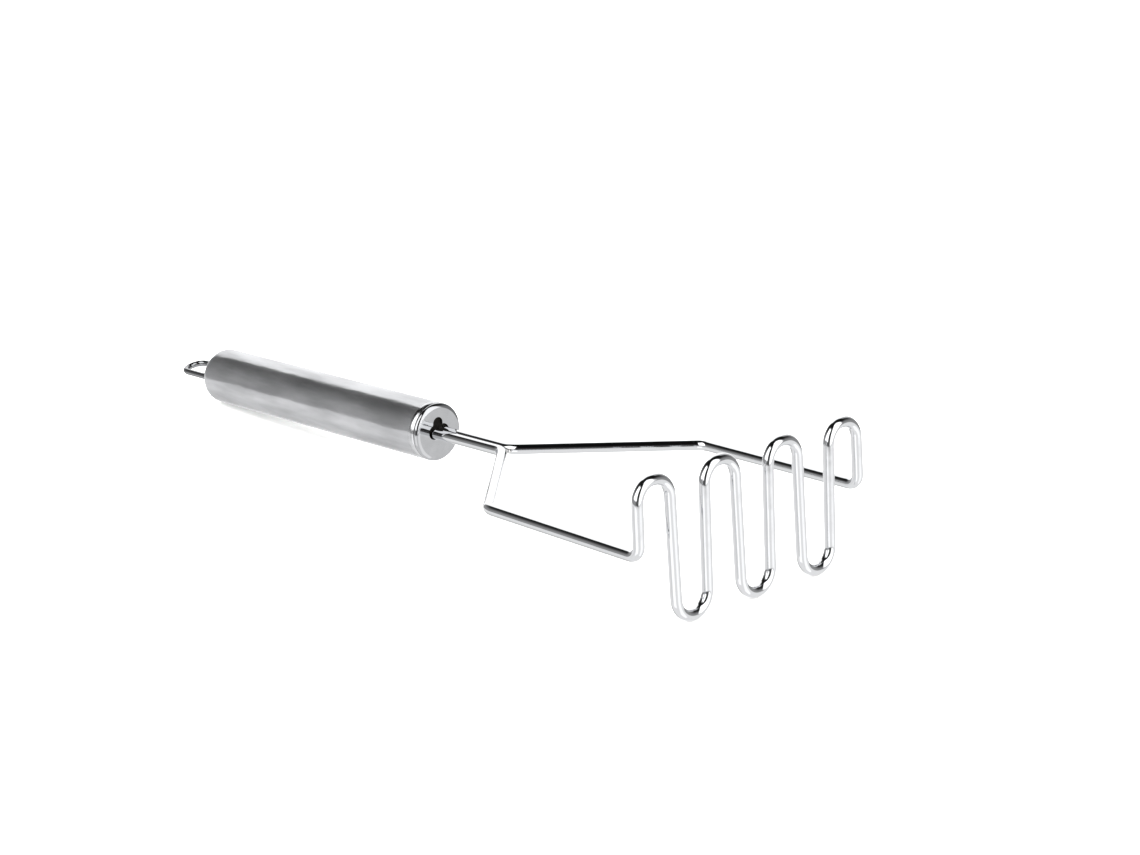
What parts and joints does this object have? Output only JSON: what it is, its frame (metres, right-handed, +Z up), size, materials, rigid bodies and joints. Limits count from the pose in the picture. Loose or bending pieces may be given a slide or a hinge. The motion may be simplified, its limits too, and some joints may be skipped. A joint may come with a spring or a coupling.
{
  "type": "potato masher",
  "caption": "Wire potato masher: one bent round wire with a wavy upright face and a forked yoke, held in a hollow round metal handle with a hanging loop.",
  "frame": {"origin": "on the table the part rests on, under the middle of its length and width", "axes": "+Z up from the table, +Y along the handle towards the hanging loop (the handle's axis drops 3.26 degrees that way because the part rests on the face's lower bends and the handle's rear end), X across the mashing face"},
  "size_m": [0.098, 0.282, 0.0459],
  "materials": {
    "polished_wire": "mirror-polished stainless steel wire",
    "polished_cap": "mirror-polished stainless steel sheet",
    "brushed_handle": "stainless steel, brushed along its length",
    "loop_wire": "polished stainless steel wire",
    "weld_metal": "bare weld bead"
  },
  "bodies": {
    "root": {"mash_wire": "polished_wire", "shank_weld": "weld_metal", "wire_weld": "weld_metal", "front_cap": "polished_cap", "handle_tube": "brushed_handle", "rear_cap": "brushed_handle", "loop_weld": "weld_metal", "hang_loop": "loop_wire"}
  },
  "joints": []
}
